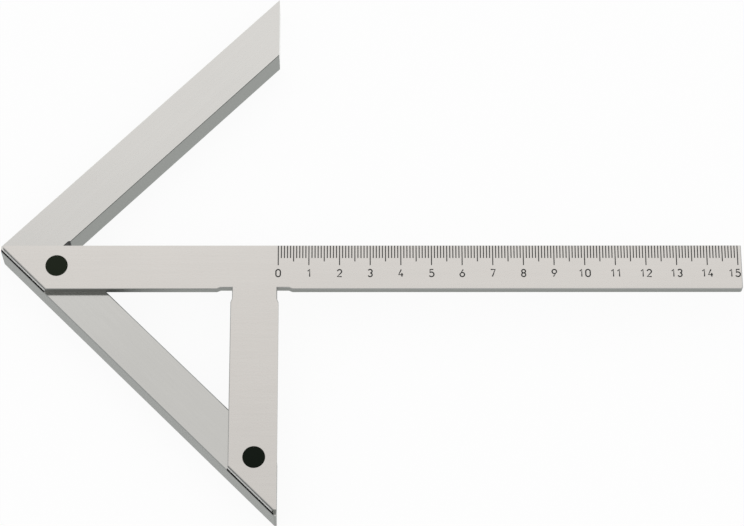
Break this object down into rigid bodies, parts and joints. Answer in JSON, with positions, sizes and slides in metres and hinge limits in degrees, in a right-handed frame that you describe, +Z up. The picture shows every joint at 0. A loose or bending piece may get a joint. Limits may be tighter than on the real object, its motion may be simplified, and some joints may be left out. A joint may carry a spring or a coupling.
{
  "type": "centre square",
  "caption": "Flat V-headed square with a graduated blade along the line that halves the V, for finding the middle of round bars.",
  "frame": {"origin": "middle of the whole tool in plan, on the back face that it lies on", "axes": "+X along the blade from the apex of the V to the free end, +Y across the blade from its plain edge to its scribing edge, +Z up out of the graduated face"},
  "size_m": [0.2422, 0.1822, 0.014],
  "materials": {
    "arm_steel": "fine ground steel, satin, grain along the bars",
    "blade_steel": "fine ground steel, satin, with dark filled graduation lines",
    "blackened_steel": "blackened steel, semi-matt",
    "dowel_steel": "ground steel pin, hidden"
  },
  "bodies": {
    "root": {"upper_arm": "arm_steel", "lower_arm": "arm_steel", "blade": "blade_steel", "root_rivet": "blackened_steel", "foot_rivet": "blackened_steel", "outer_dowel": "dowel_steel", "inner_dowel": "dowel_steel"}
  },
  "joints": []
}
